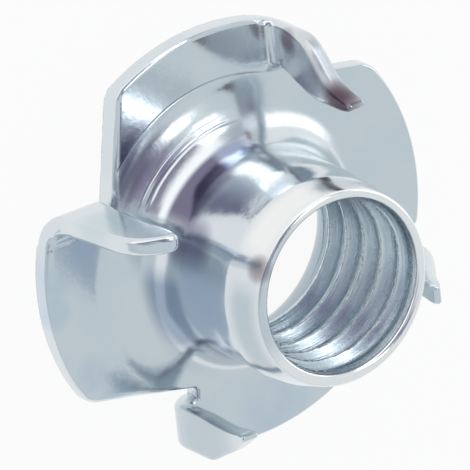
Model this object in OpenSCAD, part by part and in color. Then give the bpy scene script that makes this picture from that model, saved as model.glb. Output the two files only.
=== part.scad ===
/* [Flange] */
// outer diameter of the round flange, across opposite lobes
flange_d = 22.5; // [20:0.5:28]
// thickness of the sheet the nut is stamped from
sheet_t = 1; // [0.8:0.05:1.6]
// radius rolled on the front edge of the rim by the blanking die
rim_edge_r = 0.25; // [0.1:0.05:0.35]
// radius of the free corner of each lobe
corner_r = 0.5; // [0.2:0.1:1.2]

/* [Barrel] */
// height of the barrel above the front face of the flange
barrel_h = 9.6; // [8:0.2:16]
// outer diameter of the straight part of the barrel, which goes into the board
barrel_d = 11; // [10.8:0.1:12]
// diameter of the bore wall, the crests of the M10 thread
bore_d = 8.6; // [6:0.1:8.8]
// length of the conical nose, from the shoulder to the mouth
nose_h = 2.3; // [1:0.1:4]
// width of the ring round the mouth, with its chamfer
mouth_land = 0.8; // [0.65:0.05:0.95]
// chamfer at the mouth of the bore
mouth_chamfer = 0.5; // [0.2:0.05:0.6]
// radius of the concave fillet between the flange and the barrel
foot_r = 3.1; // [1:0.05:3.2]
// radius of the rounded entry on the back of the bore
entry_r = 3.2; // [1:0.1:3.4]

/* [Prongs] */
// height of the prong tips above the front face of the flange
prong_h = 6.4; // [3:0.1:8]
// distance from the rim to the inner edge of a prong, along the radius
prong_in = 2.25; // [1.8:0.05:3]
// angle between a prong and the radius through its inner edge
prong_skew = 31; // [20:1:40]
// inside radius of the bend at the root of a prong
bend_r = 0.5; // [0.2:0.05:0.8]
// radius of the point of a prong
tip_r = 0.3; // [0.15:0.05:0.8]
// angle in the corner of a notch, between the prong and the cut edge of the next lobe
notch_angle = 100; // [90:1:110]
// how far a notch runs inwards past the inner edge of its prong
notch_relief = 0.15; // [0.05:0.05:0.6]

/* [Hidden] */
$fn = 96;
prong_count = 4;
// far enough to run past any edge of the nut
over = flange_d;
flange_r = flange_d / 2;
bore_r = bore_d / 2;
barrel_r = barrel_d / 2;
mouth_outer = bore_r + mouth_land;
shoulder_z = barrel_h - nose_h;

// a prong is drawn in its own frame: x along its width from the inner edge, y through the sheet
// towards its own lobe, z up; the frame stands at prong_x on the radius and turns by prong_skew
prong_x = flange_r - prong_in;
// where the bend starts on the flat flange
bend_y = sheet_t + bend_r;
// the rim of the flange met by the line at height y of that frame
function rim_at(y) = let (
    px = prong_x - y * sin(prong_skew),
    py = y * cos(prong_skew),
    along = px * cos(prong_skew) + py * sin(prong_skew)
) sqrt(flange_r * flange_r - px * px - py * py + along * along) - along;
prong_w = rim_at(bend_y);

// outer edge of a prong: an arc that starts upright at the back of the flange and runs into the
// rounded tip, whose centre stands at [tip_r, tip_z] beside the inner edge
tip_z = prong_h - tip_r;
tip_x = prong_w - tip_r;
arc_h = tip_z + sheet_t;
arc_r = (tip_x * tip_x + arc_h * arc_h - tip_r * tip_r) / (2 * (tip_x - tip_r));
arc_x = prong_w - arc_r;
// where the rounding leaves the arc
tip_touch = [
    arc_x + (tip_r - arc_x) * arc_r / (arc_r - tip_r),
    arc_h * arc_r / (arc_r - tip_r) - sheet_t
];

// cut edge of a lobe in the flange's frame: through notch_p with the direction notch_dir
notch_a = prong_skew - notch_angle;
notch_dir = [cos(notch_a), sin(notch_a)];
// unit normal of the cut edge that points into the lobe
lobe_n = [notch_dir[1], -notch_dir[0]];
notch_p = [
    prong_x - bend_y * sin(prong_skew) - notch_relief * cos(prong_skew),
    bend_y * cos(prong_skew) - notch_relief * sin(prong_skew)
];
// free corner of the lobe, and the centre of its rounding
edge_off = notch_p * lobe_n;
corner_p = edge_off * lobe_n + sqrt(flange_r * flange_r - edge_off * edge_off) * notch_dir;
round_off = edge_off + corner_r;
round_p = round_off * lobe_n
    + sqrt(pow(flange_r - corner_r, 2) - round_off * round_off) * notch_dir;
round_on_edge = round_p - corner_r * lobe_n;
round_on_rim = round_p * flange_r / (flange_r - corner_r);

// moves from the flange's frame into the frame of a prong
module at_prong() {
    translate([prong_x, 0, 0])
        rotate([0, 0, prong_skew])
            children();
}

// half section of the turned form: flat flange, foot fillet, straight barrel and conical nose
module outer_section() {
    translate([0, -sheet_t])
        square([flange_r - rim_edge_r, sheet_t]);
    translate([0, -sheet_t])
        square([flange_r, sheet_t - rim_edge_r]);
    translate([flange_r - rim_edge_r, -rim_edge_r])
        circle(r = rim_edge_r);
    polygon([
        [0, -sheet_t],
        [barrel_r, -sheet_t],
        [barrel_r, shoulder_z],
        [mouth_outer, barrel_h],
        [0, barrel_h]
    ]);
    difference() {
        translate([barrel_r - rim_edge_r, -rim_edge_r])
            square([foot_r + rim_edge_r, foot_r + rim_edge_r]);
        translate([barrel_r + foot_r, foot_r])
            circle(r = foot_r);
    }
}

// the hole: a rounded entry in the back, the straight bore and a chamfered mouth
module bore() {
    translate([0, 0, -over])
        cylinder(r = bore_r, h = 2 * over);
    translate([0, 0, barrel_h - mouth_chamfer])
        cylinder(r1 = bore_r, r2 = bore_r + 2 * mouth_chamfer, h = 2 * mouth_chamfer);
    rotate_extrude()
        difference() {
            translate([0, -sheet_t - entry_r])
                square([bore_r + entry_r, 2 * entry_r]);
            translate([bore_r + entry_r, entry_r - sheet_t])
                circle(r = entry_r);
        }
}

// the gap a prong leaves in the flange, open to the rim
module notch() {
    translate([0, 0, -over])
        linear_extrude(2 * over) {
            polygon([
                notch_p,
                notch_p + over * notch_dir,
                notch_p + over * [1, -1],
                notch_p + over * [cos(prong_skew), sin(prong_skew)]
            ]);
            difference() {
                polygon([
                    round_on_edge,
                    corner_p + corner_r * (notch_dir - lobe_n),
                    2 * corner_p,
                    2 * round_on_rim,
                    round_on_rim,
                    round_p
                ]);
                translate(round_p)
                    circle(r = corner_r);
            }
        }
}

// outline of a prong, seen along the thickness of the sheet
module prong_outline() {
    difference() {
        intersection() {
            translate([0, -sheet_t])
                square([arc_r, arc_h + tip_r]);
            translate([arc_x, -sheet_t])
                circle(r = arc_r, $fn = 240);
        }
        // sharp point taken off above the rounding
        polygon([
            [-tip_r, tip_z],
            [tip_r, tip_z],
            tip_touch,
            tip_touch + [0, arc_h],
            [-tip_r, tip_z + arc_h]
        ]);
    }
    translate([tip_r, tip_z])
        circle(r = tip_r);
    // root, as wide as the rim allows
    translate([0, -sheet_t])
        square([over, sheet_t]);
}

// section of the bent sheet: a short flat, the bend and the upright prong
module bend_section() {
    translate([0, bend_r])
        square([sheet_t, over]);
    // flat that runs on into the lobe
    translate([bend_y, -sheet_t])
        square([bend_r, sheet_t]);
    difference() {
        intersection() {
            translate([bend_y, bend_r])
                circle(r = bend_y);
            translate([0, -sheet_t])
                square([bend_y, bend_y]);
        }
        translate([bend_y, bend_r])
            circle(r = bend_r);
    }
}

// one prong with its bend, trimmed by the rim
module prong() {
    intersection() {
        at_prong()
            intersection() {
                rotate([90, 0, 90])
                    linear_extrude(over)
                        bend_section();
                translate([0, over / 2, 0])
                    rotate([90, 0, 0])
                        linear_extrude(over)
                            prong_outline();
            }
        translate([0, 0, -sheet_t])
            cylinder(r = flange_r, h = over);
    }
}

// the nut stands on the back of its flange, with the barrel up
module tee_nut() {
    color([0.72, 0.77, 0.78])
        translate([0, 0, sheet_t])
            difference() {
                union() {
                    difference() {
                        rotate_extrude()
                            outer_section();
                        for (i = [0 : prong_count - 1])
                            rotate([0, 0, i * 360 / prong_count])
                                notch();
                    }
                    for (i = [0 : prong_count - 1])
                        rotate([0, 0, i * 360 / prong_count])
                            prong();
                }
                bore();
            }
}

tee_nut();
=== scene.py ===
"""Zinc-plated tee nut: a drawn sheet-metal flange with a threaded barrel and four bent claws."""
import math
import bpy
import numpy as np
from mathutils import Matrix, Vector


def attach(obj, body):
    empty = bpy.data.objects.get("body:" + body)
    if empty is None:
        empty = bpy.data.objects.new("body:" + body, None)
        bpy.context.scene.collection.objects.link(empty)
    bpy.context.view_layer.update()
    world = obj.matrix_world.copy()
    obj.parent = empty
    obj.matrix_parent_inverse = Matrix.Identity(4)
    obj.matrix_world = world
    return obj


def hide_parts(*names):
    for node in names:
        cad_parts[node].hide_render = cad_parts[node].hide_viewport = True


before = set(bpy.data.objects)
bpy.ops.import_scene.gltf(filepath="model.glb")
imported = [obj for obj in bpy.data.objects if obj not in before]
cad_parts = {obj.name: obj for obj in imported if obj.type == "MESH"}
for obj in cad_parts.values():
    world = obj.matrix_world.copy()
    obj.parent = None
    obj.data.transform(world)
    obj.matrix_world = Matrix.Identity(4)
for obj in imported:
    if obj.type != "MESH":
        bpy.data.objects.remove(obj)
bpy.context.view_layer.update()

MM = 0.001

# ---------------------------------------------------------------- camera
RIGHT = Vector((-0.7479, -0.3289, 0.5766))
UP = Vector((0.2088, -0.9411, -0.2659))
BACK = Vector((0.6301, -0.0785, 0.7725))
WIDE_MM, AWAY_MM = 23.45, 300
cam_data = bpy.data.cameras.new("camera")
cam = bpy.data.objects.new("camera", cam_data)
bpy.context.scene.collection.objects.link(cam)
bpy.context.scene.camera = cam
cam_data.type = "ORTHO"
cam_data.ortho_scale = WIDE_MM * MM
cam_data.clip_start, cam_data.clip_end = 0.01, 5
aim = Vector((0, 0, 1.0)) + RIGHT * 0.11 + UP * 0.035
turn = Matrix((RIGHT, UP, BACK)).transposed()
cam.matrix_world = Matrix.Translation((aim + BACK * AWAY_MM) * MM) @ turn.to_quaternion().to_matrix().to_4x4()

# ---------------------------------------------------------------- the nut as a signed distance, in mm
# z is 0 on the front of the flange and -T on its back
T, RIM, TOP = 1.0, 11.25, 9.6
# a claw's turn against the radius, the inside radius of its bend and where the bend starts
SKEW, BEND = math.radians(31), 0.5
BEND_Y = T + BEND
# direction of the cut edge of the next lobe
NOTCH_A = SKEW - math.radians(100)
# thread: pitch, and the height and the side in degrees at which one ridge stands
PITCH, RIDGE_Z, RIDGE_AT = 1.5, 2.05, 172.9
# rounding of the flange's edges, front and back
FRONT_R, BACK_R = 0.26, 0.1


def rounded(a, b, r):
    """Intersection of two distances, with its edge rounded to radius r."""
    return np.minimum(np.maximum(a, b), -r) + np.hypot(np.maximum(a + r, 0), np.maximum(b + r, 0))


def smooth(x):
    x = np.clip(x, 0, 1)
    return x * x * (3 - 2 * x)


def chain(points, radii):
    """Lines through the points, each inner corner rounded to its radius."""
    pts = [np.array(p, float) for p in points]
    out, start = [], pts[0]
    for i in range(1, len(pts) - 1):
        a, b, r = pts[i - 1] - pts[i], pts[i + 1] - pts[i], radii[i - 1]
        a /= np.hypot(*a)
        b /= np.hypot(*b)
        half = 0.5 * np.arccos(np.clip(a @ b, -1, 1))
        pa, pb = pts[i] + a * r / np.tan(half), pts[i] + b * r / np.tan(half)
        centre = pts[i] + (a + b) / np.hypot(*(a + b)) * r / np.sin(half)
        out += [("line", start, pa), ("arc", centre, r, pa, pb, np.sign(a[1] * b[0] - a[0] * b[1]))]
        start = pb
    return out + [("line", start, pts[-1])]


def side(prims, x, y):
    """Signed distance to a chain, positive on the left of its direction."""
    best, val = np.full(x.shape, 1e9), np.full(x.shape, 1e9)
    for p in prims:
        if p[0] == "line":
            a, d = p[1], p[2] - p[1]
            t = np.clip(((x - a[0]) * d[0] + (y - a[1]) * d[1]) / (d @ d), 0, 1)
            dist = np.hypot(x - a[0] - t * d[0], y - a[1] - t * d[1])
            s = np.where(d[0] * (y - a[1]) - d[1] * (x - a[0]) >= 0, 1.0, -1.0)
        else:
            c, r, pa, pb, way = p[1:]
            vx, vy = x - c[0], y - c[1]
            rho = np.hypot(vx, vy)
            ua, ub = pa - c, pb - c
            ok = ((ua[0] * vy - ua[1] * vx) * way >= 0) & ((ub[0] * vy - ub[1] * vx) * way <= 0)
            ok &= vx * (ua + ub)[0] + vy * (ua + ub)[1] > 0
            dist = np.where(ok, np.abs(rho - r), 1e9)
            s = np.where(rho > r, -way, way) * 1.0
        m = dist < best
        best, val = np.where(m, dist, best), np.where(m, dist * s, val)
    return val


# half sections in radius and height: flange front, foot, barrel and rolled nose; then the drawn hole
FRONT = chain([(40, 0), (5.48, 0), (5.44, 7.55), (5.1, TOP), (-30, TOP)], [3.1, 0.35, 0.22])
HOLE = chain([(40, -T), (4.3, -T), (4.3, 8.75), (4.56, 9.01), (4.62, 30)], [3.2, 0.15, 0.1])


def bore_wall(th, z, root=4.88, crest=4.27, land=0.04, run=0.85):
    """Radius of the threaded wall and the factor for its slope; land and run are shares of half a pitch."""
    phase = (z - RIDGE_Z - PITCH * (th - math.radians(RIDGE_AT)) / (2 * np.pi)) / PITCH
    a = np.abs(phase - np.round(phase)) * 2
    x = np.clip((a - land) / run, 0, 1)
    # the grooves fade in above the rounded entry and get shallower below the mouth
    deep = (root - crest) * smooth((z - 1.3) / 1.3) * (1 - 0.5 * smooth((z - 8) / 1.2))
    slope = deep * np.pi / 2 * np.cos(x * np.pi / 2) / run * 2 / PITCH
    return crest + deep * np.sin(x * np.pi / 2), 1 / np.sqrt(1 + slope ** 2)


def spline(points, n):
    """Smooth curve through the points, as n points."""
    P = np.array(points, float)
    P = np.vstack([2 * P[0] - P[1], P, 2 * P[-1] - P[-2]])
    t = np.concatenate([[0], np.cumsum(np.sqrt(np.hypot(*np.diff(P, axis=0).T)))])
    out = []
    for s in np.linspace(t[1], t[-2], n):
        i = min(max(np.searchsorted(t, s) - 1, 1), len(P) - 3)
        t0, t1, t2, t3 = t[i - 1:i + 3]
        a1 = (t1 - s) / (t1 - t0) * P[i - 1] + (s - t0) / (t1 - t0) * P[i]
        a2 = (t2 - s) / (t2 - t1) * P[i] + (s - t1) / (t2 - t1) * P[i + 1]
        a3 = (t3 - s) / (t3 - t2) * P[i + 1] + (s - t2) / (t3 - t2) * P[i + 2]
        b1 = (t2 - s) / (t2 - t0) * a1 + (s - t0) / (t2 - t0) * a2
        b2 = (t3 - s) / (t3 - t1) * a2 + (s - t1) / (t3 - t1) * a3
        out.append((t2 - s) / (t2 - t1) * b1 + (s - t1) / (t2 - t1) * b2)
    return np.array(out)


# every claw's outline ends past the rim, level with the flange
ROOT = [(3.6, 0), (5, -0.1), (8, -0.1)]
# the four claws: where the inner edge meets the radius, the gap beside the bend, how far the next lobe is
# cut back, in all and towards its corner, and the outline in the claw's own plane, up the inner edge, over
# the tip and down the slant
PRONGS = [
    dict(x=8.85, gap=0.05, cut=-0.3, pts=[
        (0, -3), (0, 0), (0, 1.2), (0.02, 2.4), (0.04, 3.5), (0, 4.3), (-0.12, 5.0), (-0.22, 5.7),
        (-0.2, 6.35), (0, 6.62), (0.45, 6.62), (0.95, 6.42), (1.55, 6.0), (2.05, 5.4), (2.38, 4.6),
        (2.5, 3.8), (2.6, 2.8), (2.75, 1.6), (2.95, 0.6)] + ROOT),
    dict(x=9.0, gap=0.1, cut=-0.35, pts=[
        (0, -3), (0, 0), (-0.05, 1.2), (-0.08, 2.4), (0, 3.5), (0.03, 4.3), (0.03, 5.0), (0, 5.6),
        (0.05, 5.9), (0.25, 5.95), (0.55, 5.6), (1.1, 4.9), (1.7, 3.8), (2.25, 2.8), (2.7, 1.8),
        (2.95, 0.7)] + ROOT),
    dict(x=9.0, gap=0.1, cut=0.0, pts=[
        (0, -3), (0, 0), (0, 1.2), (0, 2.4), (0, 3.5), (0, 4.3), (-0.02, 5.0), (-0.05, 5.6),
        (0, 5.95), (0.25, 6.0), (0.5, 5.7), (1.2, 4.4), (2.1, 3.0), (2.6, 2.1), (2.85, 1.4),
        (3.0, 0.6)] + ROOT),
    dict(x=9.0, gap=-0.4, cut=0.0, tilt=-0.7, pts=[
        (0.2, -3), (0.2, 0), (0.05, 0.9), (-0.3, 1.7), (-0.6, 2.5), (-0.74, 3.3), (-0.76, 4.1),
        (-0.68, 4.9), (-0.56, 5.6), (-0.42, 6.1), (-0.22, 6.3), (0, 6.1), (0.12, 5.6), (0.3, 5.1),
        (0.6, 4.55), (1.05, 4.05), (1.6, 3.55), (2.1, 3.05), (2.5, 2.4), (2.75, 1.6),
        (2.95, 0.6)] + ROOT),
]
for p in PRONGS:
    p["line"] = spline(p["pts"], 400)
# the blanking left each lobe of the flange a little off the barrel's axis
LOBES = np.array([(0.2, -0.09), (-0.19, -0.37), (-0.26, 0.11), (0.03, 0.03)])


def rim(x, y):
    """Plan distance to the round rim, which shifts from lobe to lobe."""
    f = (np.degrees(np.arctan2(y, x)) / 90 - 0.5) % 4
    k = np.floor(f).astype(int) % 4
    w = smooth((f - np.floor(f) - 0.3) / 0.4)[..., None]
    c = LOBES[k] * (1 - w) + LOBES[(k + 1) % 4] * w
    return np.hypot(x - c[..., 0], y - c[..., 1]) - RIM


def outline(line, x, y):
    """Signed distance to an open outline, negative on its right."""
    best, val = np.full(x.shape, 1e9), np.full(x.shape, 1e9)
    for a, b in zip(line[:-1], line[1:]):
        d = b - a
        t = np.clip(((x - a[0]) * d[0] + (y - a[1]) * d[1]) / (d @ d), 0, 1)
        dist = np.hypot(x - a[0] - t * d[0], y - a[1] - t * d[1])
        m = dist < best
        best = np.where(m, dist, best)
        val = np.where(m, np.where(d[0] * (y - a[1]) - d[1] * (x - a[0]) >= 0, dist, -dist), val)
    return val


def dish(x, y):
    """How far the sheet rises towards the rim of one lobe, outside a faint crease round the foot."""
    r, a = np.hypot(x, y), np.degrees(np.arctan2(y, x))
    return 0.05 * (np.hypot(r - 8.5, 0.25) + r - 8.5) * smooth((16 - a) / 12) * smooth((a + 68) / 18)


def lean(th, z):
    """The drawn barrel stands a little to one side, and its shoulder runs at a slant."""
    out = 0.1 * smooth((z - 0.5) / 2) + 0.14 * smooth((z - 5.6) / 1.8) * (1 - smooth((z - 8) / 1.6))
    down = 0.35 * smooth((z - 5) / 2) * (1 - smooth((z - 8.2) / 1.4))
    return out * np.cos(th - 1.45), down * np.cos(th - 0.7)


def claw_frame(i, x, y):
    """Along the claw's width and across its sheet."""
    a = -i * math.pi / 2
    X, Y = x * math.cos(a) - y * math.sin(a) - PRONGS[i]["x"], x * math.sin(a) + y * math.cos(a)
    c, s = math.cos(-SKEW), math.sin(-SKEW)
    return X * c - Y * s, X * s + Y * c


def claw(i, x, y, z):
    """Signed distance to claw i with its bend and the root that runs into the flange."""
    u, w = claw_frame(i, x, y)
    n = np.where(z > BEND, w - T, np.where(w > BEND_Y, z, BEND - np.hypot(w - BEND_Y, z - BEND)))
    n = np.where((z > BEND) & (w > BEND_Y), np.minimum(w - T, z), n)
    o = rounded(outline(PRONGS[i]["line"], u, z), rim(x, y), 0.12)
    o = np.maximum(o, w - BEND_Y - 0.45)
    # the edges get sharper towards the tip, but not on the first claw
    soft = 1 - (0.55 if i else -0.05) * smooth((z - 4.2) / 1.6)
    return rounded(rounded(o, n, 0.42 * soft), -T - n, 0.28 * soft)


def notch(i, x, y, slant=0):
    """Plan distance to the gap that claw i was bent out of, negative in the gap."""
    a, p = -i * math.pi / 2, PRONGS[i]
    X, Y = x * math.cos(a) - y * math.sin(a), x * math.sin(a) + y * math.cos(a)
    nx = p["x"] - BEND_Y * math.sin(SKEW) - p["gap"] * math.cos(SKEW)
    ny = BEND_Y * math.cos(SKEW) - p["gap"] * math.sin(SKEW)
    along = (X - nx) * math.cos(NOTCH_A) + (Y - ny) * math.sin(NOTCH_A)
    cut = (X - nx) * math.sin(NOTCH_A) - (Y - ny) * math.cos(NOTCH_A) + p["cut"] - slant
    cut = cut + p.get("tilt", 0) * smooth((along - 0.6) / 2.0)
    return rounded(claw_frame(i, x, y)[1] - BEND_Y, cut, 0.15)


def nut(x, y, z):
    """Signed distance to the nut, negative in the metal."""
    r, th = np.hypot(x, y), np.arctan2(y, x)
    up = dish(x, y)
    # one cut edge and the rim beside the first claw are rolled over further
    edge = np.minimum(np.abs(notch(1, x, y)), 1.2) / 1.2
    front_r = FRONT_R + 0.26 * smooth(1 - edge) * smooth((x - 0.6) / 2)
    front_r = front_r + 0.16 * smooth(1 - np.abs(th - 0.42) / 0.4) * smooth((r - 9.3) / 1.2)
    plan = rim(x - up, y)
    for i in range(4):
        slant = 0.25 * np.clip(z + T, 0, T) if i == 0 else 0
        plan = rounded(plan, -notch(i, x - up, y, slant), 0.4)
    dr, dz = lean(th, z)
    d = rounded(-side(FRONT, r - dr, z + dz - up), plan, front_r)
    d = rounded(d, side(HOLE, r, z - up), BACK_R + 0.14 * smooth(z - 7))
    for i in range(4):
        # a claw is worked out only near itself
        u, w = claw_frame(i, x, y)
        m = (u > -1.5) & (u < 5) & (w > -1.5) & (w < 3.5) & (z < 7.5)
        if m.any():
            d[m] = np.minimum(d[m], claw(i, x[m], y[m], z[m]))
    rb, k = bore_wall(th, z)
    return np.maximum(d, np.where((z > 1) & (z < 10.5) & (r < 7), (rb - r) * k, -1e9))


def blocks(f, P, size=300000):
    """f over many points, a block at a time."""
    return np.concatenate([f(*P[s:s + size].T.copy()) for s in range(0, len(P), size)])


def surface_nets(h, pad=0.6, c=4):
    """Points and faces of the zero surface on a grid of step h, with a coarse pass of c steps first."""
    # the lobes reach past the round rim by their own shift
    reach = RIM + 0.5 + pad
    lo = np.array([-reach, -reach, -T - pad])
    hi = np.array([reach, reach, TOP + pad])
    nc = (np.ceil((hi - lo) / h).astype(int) + c) // c + 1
    X, Y, Z = np.meshgrid(*[lo[a] + h * c * np.arange(nc[a]) for a in range(3)], indexing="ij")
    dc = blocks(nut, np.stack([X.ravel(), Y.ravel(), Z.ravel()], 1)).reshape(X.shape)
    near = np.abs(dc) < h * c * 1.9
    cell = np.zeros_like(near)
    for dx, dy, dz in np.ndindex(2, 2, 2):
        cell[:nc[0] - dx, :nc[1] - dy, :nc[2] - dz] |= near[dx:, dy:, dz:]
    grow = lambda v: v.repeat(c, 0).repeat(c, 1).repeat(c, 2)
    # far from the surface only the sign counts
    fine, D = grow(cell), grow(np.sign(dc) * 9.0)
    D[fine] = blocks(nut, lo + h * np.argwhere(fine))
    N = np.array(D.shape)
    # the cells round each crossed grid edge take the mean of the crossings
    acc, cnt = np.zeros(tuple(N - 1) + (3,)), np.zeros(tuple(N - 1))
    edges = []
    for a in range(3):
        s0, s1 = [slice(None)] * 3, [slice(None)] * 3
        s0[a], s1[a] = slice(0, -1), slice(1, None)
        d0, d1 = D[tuple(s0)], D[tuple(s1)]
        m = (d0 < 0) != (d1 < 0)
        e = np.argwhere(m)
        at = e.astype(float)
        at[:, a] += d0[m] / (d0[m] - d1[m])
        b, g = [(1, 2), (2, 0), (0, 1)][a]
        ok = (e[:, b] > 0) & (e[:, g] > 0) & (e[:, b] < N[b] - 1) & (e[:, g] < N[g] - 1)
        e, at, inner = e[ok], at[ok], (d0[m] < 0)[ok]
        edges.append((b, g, e, inner))
        for db, dg in ((-1, -1), (0, -1), (0, 0), (-1, 0)):
            q = e.copy()
            q[:, b] += db
            q[:, g] += dg
            np.add.at(acc, tuple(q.T), at)
            np.add.at(cnt, tuple(q.T), 1)
    # each crossed grid edge gives one face through its four cells
    has = cnt > 0
    index = np.full(has.shape, -1)
    index[has] = np.arange(has.sum())
    faces = []
    for b, g, e, inner in edges:
        f = []
        for db, dg in ((-1, -1), (0, -1), (0, 0), (-1, 0)):
            q = e.copy()
            q[:, b] += db
            q[:, g] += dg
            f.append(index[tuple(q.T)])
        f = np.stack(f, 1)
        f[~inner] = f[~inner][:, ::-1]
        faces.append(f)
    return lo + h * (acc[has] / cnt[has][:, None]), np.concatenate(faces)


def gradient(P, e=0.02):
    """Direction in which the distance grows, by central differences."""
    g = np.empty_like(P)
    for a in range(3):
        s = np.zeros(3)
        s[a] = e
        g[:, a] = (blocks(nut, P + s) - blocks(nut, P - s)) / (2 * e)
    return g


def settle(P, steps=2, cap=0.05):
    """Moves the points onto the surface, by at most cap in a step."""
    for _ in range(steps):
        g = gradient(P)
        step = (blocks(nut, P) / np.maximum((g ** 2).sum(1), 0.2))[:, None] * g
        P = P - step * np.minimum(1, cap / np.maximum(np.linalg.norm(step, axis=1), 1e-9))[:, None]
    return P


def to_mesh(name, V, F):
    """Mesh data from points and faces with one number of corners."""
    me = bpy.data.meshes.new(name)
    me.vertices.add(len(V))
    me.vertices.foreach_set("co", V.astype(np.float32).ravel())
    k = F.shape[1]
    me.loops.add(F.size)
    me.loops.foreach_set("vertex_index", F.astype(np.int32).ravel())
    me.polygons.add(len(F))
    me.polygons.foreach_set("loop_start", np.arange(0, F.size, k, dtype=np.int32))
    me.update(calc_edges=True)
    return me


# a fine net, thinned to the triangles that are kept and settled once more
GRID, TRIANGLES = 0.11, 190000
V, F = surface_nets(GRID)
V = settle(V)
F = np.vstack([F[:, [0, 1, 2]], F[:, [0, 2, 3]]])
rough_me = to_mesh("nut_fine", V, F)
rough_ob = bpy.data.objects.new("nut_fine", rough_me)
bpy.context.scene.collection.objects.link(rough_ob)
mod = rough_ob.modifiers.new("fewer", "DECIMATE")
mod.ratio = TRIANGLES / len(F)
deps = bpy.context.evaluated_depsgraph_get()
me = bpy.data.meshes.new_from_object(rough_ob.evaluated_get(deps))
bpy.data.objects.remove(rough_ob)
bpy.data.meshes.remove(rough_me)
V = np.empty(len(me.vertices) * 3)
me.vertices.foreach_get("co", V)
V = settle(V.reshape(-1, 3), 1)
normal = gradient(V)
normal /= np.linalg.norm(normal, axis=1)[:, None]
me.vertices.foreach_set("co", ((V + (0, 0, T)) * MM).astype(np.float32).ravel())
me.polygons.foreach_set("use_smooth", np.ones(len(me.polygons), bool))
me.update()
me.normals_split_custom_set_from_vertices(normal)
me.name = "tee_nut_shape"
nut_ob = bpy.data.objects.new("tee_nut_plated", me)
bpy.context.scene.collection.objects.link(nut_ob)
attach(nut_ob, "root")
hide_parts("tee_nut")


# ---------------------------------------------------------------- shaders
class Tree:
    """Small helper that adds nodes and links them."""

    def __init__(self, tree):
        self.tree = tree
        tree.nodes.clear()

    def node(self, kind, settings=None, **values):
        n = self.tree.nodes.new(kind)
        for k, v in (settings or {}).items():
            setattr(n, k, v)
        for k, v in values.items():
            self.put(n.inputs[int(k[1:]) if k[0] == "i" and k[1:].isdigit() else k.replace("_", " ")], v)
        return n

    def put(self, socket, v):
        if isinstance(v, S):
            self.tree.links.new(v.s, socket)
        else:
            socket.default_value = v

    def out(self, kind, settings=None, output=0, **values):
        return S(self, self.node(kind, settings, **values).outputs[output])


class S:
    """A socket that takes part in arithmetic."""

    def __init__(self, t, s):
        self.t, self.s = t, s

    def op(self, kind, a, b=0.0):
        return self.t.out("ShaderNodeMath", {"operation": kind}, i0=a, i1=b)

    def __add__(self, o): return self.op("ADD", self, o)
    __radd__ = __add__
    def __sub__(self, o): return self.op("SUBTRACT", self, o)
    def __rsub__(self, o): return self.op("SUBTRACT", o, self)
    def __mul__(self, o): return self.op("MULTIPLY", self, o)
    __rmul__ = __mul__
    def __truediv__(self, o): return self.op("DIVIDE", self, o)

    def ramp(self, a, b):
        """0 at a, 1 at b, smooth between."""
        return self.t.out("ShaderNodeMapRange", {"interpolation_type": "SMOOTHSTEP"},
                          Value=self, From_Min=a, From_Max=b)


def mix(t, f, a, b):
    """Colour a, with b laid over it by the factor f."""
    n = t.node("ShaderNodeMix", {"data_type": "RGBA"})
    # 6 and 7 are the node's colour sockets
    t.put(n.inputs[0], f)
    t.put(n.inputs[6], a)
    t.put(n.inputs[7], b)
    return S(t, n.outputs[2])


def arc(v, centre, half, soft):
    """1 where an angle in degrees lies within half of the centre, soft at the ends."""
    t = v.t
    d = t.out("ShaderNodeMath", {"operation": "PINGPONG"}, i0=v - (centre - 720), i1=180.0)
    return 1 - d.ramp(half - soft, half + soft)


def rgb(r, g, b):
    return (r, g, b, 1.0)


mat = bpy.data.materials.new("zinc_plating")
mat.use_nodes = True
t = Tree(mat.node_tree)
# object coordinates, in metres
pos = t.out("ShaderNodeTexCoord", output=3)
cloud = t.out("ShaderNodeTexNoise", Vector=pos, Scale=220.0, Detail=3.0, Roughness=0.55)
grain = t.out("ShaderNodeTexNoise", Vector=pos, Scale=2600.0, Detail=3.0, Roughness=0.6)
patch = t.out("ShaderNodeTexNoise", Vector=pos, Scale=90.0, Detail=2.0)
base = mix(t, cloud.ramp(0.35, 0.7), rgb(0.69, 0.745, 0.785), rgb(0.73, 0.775, 0.80))
base = mix(t, patch.ramp(0.55, 0.75) * 0.5, base, rgb(0.66, 0.73, 0.78))
# place on the nut: plan, radius and height over the flat back in mm, and side in degrees
px, py, high = (t.out("ShaderNodeSeparateXYZ", output=k, Vector=pos) * 1000 for k in range(3))
radius = t.out("ShaderNodeMath", {"operation": "SQRT"}, i0=px * px + py * py)
turn_deg = t.out("ShaderNodeMath", {"operation": "ARCTAN2"}, i0=py, i1=px) * (180 / math.pi)

# the bore: painted shade on its entry and down its threaded walls, broken up by streaks of the tap along the
# thread, and painted highlights on the crests
inside = (1 - radius.ramp(4.86, 5.0)) * high.ramp(1.6, 3.0) * (1 - high.ramp(10.1, 10.5))
coil = high - turn_deg * (PITCH / 360)
in_front = high.ramp(0.9, 1.0)
throat = in_front * (1 - high.ramp(2.9, 3.3)) * (1 - radius.ramp(5.25, 5.45))
throat = throat + (1 - in_front) * (1 - radius.ramp(7.0, 7.5))
tap = t.out("ShaderNodeTexNoise", {"noise_dimensions": "2D"}, Scale=1.0, Detail=3.0, Roughness=0.6,
            Vector=t.out("ShaderNodeCombineXYZ", X=coil * 16, Y=turn_deg * 0.03))
# painted shade in the entry of the hole
base = mix(t, throat, base, rgb(0.36, 0.43, 0.49))
# painted shade down the threaded wall, varied by the tap's streaks
base = mix(t, inside * (0.45 + tap.ramp(0.35, 0.65) * 0.4), base, rgb(0.47, 0.58, 0.655))
# painted highlights along the thread crests
crest = t.out("ShaderNodeMath", {"operation": "PINGPONG"}, i1=0.5,
              i0=(coil - (T + RIDGE_Z)) * (1 / PITCH) + RIDGE_AT / 360)
base = mix(t, inside * (1 - crest.ramp(0.03, 0.13)) * 0.6, base, rgb(0.86, 0.91, 0.93))
rough = 0.13 + cloud.ramp(0.3, 0.75) * 0.05 + grain.ramp(0.5, 0.7) * 0.05 + inside * 0.1


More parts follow.
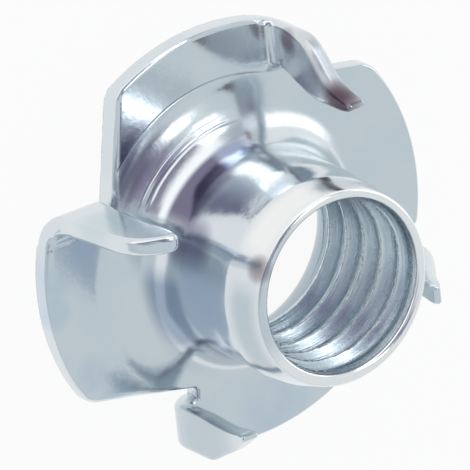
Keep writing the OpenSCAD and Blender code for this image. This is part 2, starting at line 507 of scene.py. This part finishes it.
def ring(at, wide, first, last):
    """A thin round mark of the drawing punch, from one side to another; its darker colour is painted shade."""
    d = t.out("ShaderNodeMath", {"operation": "ABSOLUTE"}, i0=radius - at)
    return (1 - d.ramp(0, wide)) * turn_deg.ramp(first, first + 14) * (1 - turn_deg.ramp(last - 14, last))


wave = (cloud - 0.5) * 0.25


def stain(x, y, far):
    """A soft patch round a place on the flange, broken up by the cloudy noise."""
    dx, dy = px - x, py - y
    return (1 - (dx * dx + dy * dy).ramp(0, far * far)) * cloud.ramp(0.3, 0.6)


blue = stain(10.0, 4.6, 1.6) + stain(9.0, 6.2, 1.1) + stain(3.4, 9.6, 1.6)
blue = blue + stain(5.6, 8.6, 1.2) + stain(-2.3, -9.9, 1.3) + stain(-6.1, 7.5, 2.6)
base = mix(t, blue * 0.55, base, rgb(0.50, 0.62, 0.74))


def band(centre, half, soft, low, upto, ease):
    """A soft patch on the outside of the barrel, by its side in degrees and its height in mm."""
    height = high.ramp(low - ease, low + ease) * (1 - high.ramp(upto - 0.6, upto + 0.6))
    return arc(turn_deg, centre, half, soft) * height * outer


def round_patch(x, y, z, far):
    """A soft patch round a place in mm."""
    dx, dy, dz = px - x, py - y, high - z
    return 1 - (dx * dx + dy * dy + dz * dz).ramp(0, far * far)


# the sheared face of one claw is rougher
rough = rough + round_patch(1.25, -9.5, 4.7, 2.1) * 0.25
# painted reflections and shade in the plating: dark violet and blue painted reflections on sides of the foot,
# a painted highlight on one side of the nose and duller dark painted reflections on sides of the barrel and
# nose, a painted highlight on the lip, painted shade in a crease, darker patches on the claws and a cut face,
# and a dark painted reflection beside the mouth
outer = radius.ramp(4.8, 4.95) * (1 - radius.ramp(6.9, 7.6))
# a painted highlight on the flat lip round the mouth, left out on one side
lip = high.ramp(10.3, 10.45) * radius.ramp(4.45, 4.6) * (1 - radius.ramp(5.12, 5.22))
lip = lip * (1 - arc(turn_deg, 15, 42, 12))
# painted shade in a crease on one lobe of the flange front
crease = radius.ramp(7.0, 7.4) * (1 - radius.ramp(8.1, 8.5)) * arc(turn_deg, -13, 17, 8) * high.ramp(0.9, 1.02)
for mask, tone in (
        # painted dark violet and bluish reflections on the foot, barrel, shoulder and nose
        (band(337, 23, 8, 2.68, 4.4, 0.16), rgb(0.185, 0.175, 0.26)),
        (round_patch(5.35, 0.75, 4.9, 1.9) * 0.85, rgb(0.21, 0.21, 0.32)),
        (band(52, 24, 7, 2.1, 4.2, 0.4), rgb(0.33, 0.41, 0.515)),
        (band(308, 9, 5, 2.6, 3.9, 0.2), rgb(0.36, 0.42, 0.55)),
        (band(312, 15, 6, 7.5, 8.2, 0.5) * 0.45, rgb(0.42, 0.54, 0.66)),
        (band(287, 9, 5, 9.0, 10.4, 0.4) * 0.4, rgb(0.37, 0.43, 0.48)),
        # darker patches on one claw's cut face
        (round_patch(1.5, -10.8, 3.7, 1.3) * 0.3, rgb(0.45, 0.47, 0.48)),
        (round_patch(1.2, -9.7, 4.9, 1.2) * 0.4, rgb(0.36, 0.37, 0.41)),
        # a bluish painted reflection down one side of the barrel, a duller one on that side of the nose and a
        # painted highlight on the other side of the nose
        (band(48, 32, 10, 4.2, 8.0, 0.5), rgb(0.53, 0.61, 0.73)),
        (band(45, 28, 9, 8.6, 10.2, 0.5) * 0.8, rgb(0.45, 0.53, 0.58)),
        (band(332, 26, 8, 8.6, 10.5, 0.5) * 0.8, rgb(0.93, 0.93, 0.92)),
        # a dark painted reflection beside the mouth
        (round_patch(5.15, 0.35, 10.1, 0.9) * 0.7, rgb(0.22, 0.17, 0.20)),
        # a bluish patch on another claw
        (round_patch(10.2, 0.7, 3.8, 2.0) * 0.6, rgb(0.50, 0.63, 0.67)),
        # the painted highlight on the lip and the painted shade in the crease
        (lip, rgb(0.97, 0.97, 0.96)),
        (crease * 0.7, rgb(0.31, 0.32, 0.41)),
        # a duller patch on a third claw, and dark patches on the cut face of one claw
        (round_patch(-0.5, 9.9, 3.5, 3.2) * 0.7, rgb(0.45, 0.53, 0.58)),
        (round_patch(0.8, -8.4, 6.3, 1.6), rgb(0.12, 0.08, 0.11)),
        (round_patch(1.9, -10.25, 2.35, 0.85) * 0.8, rgb(0.18, 0.12, 0.15))):
    base = mix(t, mask, base, tone)
# thin grooves of the drawing punch, bumped into the surface and darkened with painted shade
punch_grooves_and_shade = ring(6.44 + wave, 0.12, -66, 4) + ring(6.72 + wave, 0.07, -60, 6) * 0.8
punch_grooves_and_shade = (punch_grooves_and_shade + ring(8.52 + wave * 0.6, 0.08, -82, 4) * 0.8) * high.ramp(0.9, 1.02)
base = mix(t, punch_grooves_and_shade * 0.45, base, rgb(0.30, 0.31, 0.42))
bump = t.out("ShaderNodeBump", Strength=1.0, Distance=0.01 * MM,
             Height=grain * 0.5 + cloud * 0.8 - punch_grooves_and_shade * 3 + inside * tap * 2.2)
bsdf = t.node("ShaderNodeBsdfPrincipled", Base_Color=base, Metallic=1.0, Roughness=rough, Normal=bump)
out = t.node("ShaderNodeOutputMaterial")
t.tree.links.new(bsdf.outputs[0], out.inputs[0])
me.materials.clear()
me.materials.append(mat)

# ---------------------------------------------------------------- floor, light and world
CORNERS, FLOOR_R = 64, 1.5
corners = [2 * math.pi * k / CORNERS for k in range(CORNERS)]
fl = bpy.data.meshes.new("floor")
fl.from_pydata([(FLOOR_R * math.cos(a), FLOOR_R * math.sin(a), 0) for a in corners],
               [], [list(range(CORNERS))])
floor = bpy.data.objects.new("floor", fl)
bpy.context.scene.collection.objects.link(floor)
fm = bpy.data.materials.new("white_floor")
fm.use_nodes = True
t = Tree(fm.node_tree)
# white where it is seen, also in the metal; the plain paint in the mix keeps the nut's shadow
path = t.node("ShaderNodeLightPath")
camera, glossy, through = (S(t, path.outputs["Is %s Ray" % k]) for k in ("Camera", "Glossy", "Transmission"))
seen = t.out("ShaderNodeMath", {"operation": "MINIMUM"}, i0=camera + glossy + through, i1=1.0)
paint = t.node("ShaderNodeBsdfDiffuse", Color=rgb(0.8, 0.8, 0.8))
white = t.node("ShaderNodeEmission", Color=rgb(1, 1, 1), Strength=1.0)
m = t.node("ShaderNodeMixShader")
t.put(m.inputs[0], seen * 0.93)
t.tree.links.new(paint.outputs[0], m.inputs[1])
t.tree.links.new(white.outputs[0], m.inputs[2])
out = t.node("ShaderNodeOutputMaterial")
t.tree.links.new(m.outputs[0], out.inputs[0])
fl.materials.append(fm)


def towards(az, el):
    """Unit vector towards a side and a height in degrees."""
    a, e = math.radians(az), math.radians(el)
    return Vector((math.cos(a) * math.cos(e), math.sin(a) * math.cos(e), math.sin(e)))


world = bpy.data.worlds.new("studio")
bpy.context.scene.world = world
world.use_nodes = True
t = Tree(world.node_tree)
# the direction that is looked in
way = t.out("ShaderNodeTexCoord", output=0)
x, y, z = (t.out("ShaderNodeSeparateXYZ", output=k, Vector=way) for k in range(3))
az = t.out("ShaderNodeMath", {"operation": "ARCTAN2"}, i0=y, i1=x) * (180 / math.pi)
el = t.out("ShaderNodeMath", {"operation": "ARCSINE"}, i0=z) * (180 / math.pi)
sky = rgb(0.70, 0.745, 0.77)
# the panels and gaps of the studio: middle and half width in azimuth, softness, lowest and highest
# elevation, softness, colour; 99 leaves the top open
for centre, half, soft, low, high, ease, colour in (
        (75, 62, 12, -4, 20, 4, rgb(0.64, 0.68, 0.72)),
        (328, 44, 6, 2, 23, 4, rgb(1.3, 1.28, 1.27)),
        (268, 10, 4, -4, 24, 5, rgb(0.48, 0.52, 0.58)),
        (227, 21, 6, -8, 17, 5, rgb(1.7, 1.7, 1.68)),
        (20, 26, 12, 28, 59, 5, rgb(0.47, 0.51, 0.56)),
        (12, 18, 8, 20, 42, 4, rgb(0.38, 0.37, 0.44)),
        (322, 36, 7, 28, 41, 3, rgb(0.28, 0.25, 0.34)),
        (323, 16, 5, 38, 64, 4, rgb(0.24, 0.21, 0.32)),
        (304, 9, 5, 44, 60, 3, rgb(0.44, 0.50, 0.60)),
        (5, 28, 8, 73, 99, 4, rgb(0.33, 0.36, 0.42)),
        (195, 52, 10, 73, 99, 3, rgb(0.24, 0.25, 0.32)),
        (328, 38, 8, 61, 99, 3, rgb(0.24, 0.21, 0.32)),
        (290, 46, 10, 78, 99, 3, rgb(0.24, 0.21, 0.31))):
    f = arc(az, centre, half, soft) * el.ramp(low - ease, low + ease) * (1 - el.ramp(high - ease, high + ease))
    sky = mix(t, f, sky, colour)
# plain white for the camera itself
seen = t.out("ShaderNodeLightPath", output=0)
bg = t.node("ShaderNodeBackground", Color=mix(t, seen, sky, rgb(1, 1, 1)), Strength=1.0)
out = t.node("ShaderNodeOutputWorld")
t.tree.links.new(bg.outputs[0], out.inputs[0])


def lamp(name, middle, along, long, wide, level, far=0.4):
    """A soft rectangular lamp of the given angular size in degrees, seen at the given brightness."""
    d = bpy.data.lights.new(name, "AREA")
    d.shape = "RECTANGLE"
    d.size = 2 * far * math.tan(math.radians(long / 2))
    d.size_y = 2 * far * math.tan(math.radians(wide / 2))
    d.energy = level * math.pi * d.size * d.size_y
    ob = bpy.data.objects.new(name, d)
    bpy.context.scene.collection.objects.link(ob)
    w = Vector(middle).normalized()
    u = (Vector(along) - Vector(along).project(w)).normalized()
    ob.matrix_world = Matrix.Translation(w * far) @ Matrix((u, w.cross(u), w)).transposed().to_4x4()
    ob.visible_camera = False


lamp("strip", towards(258, 70), towards(285, 63) - towards(228, 75), 17, 8, 2.4)
lamp("spot_low", towards(284, 29), (0, 0, 1), 12, 18, 3.0)
lamp("spot_high", towards(277, 43), towards(270, 52) - towards(284, 34), 17, 12, 3.2)

view = bpy.context.scene.view_settings
view.view_transform = "Standard"
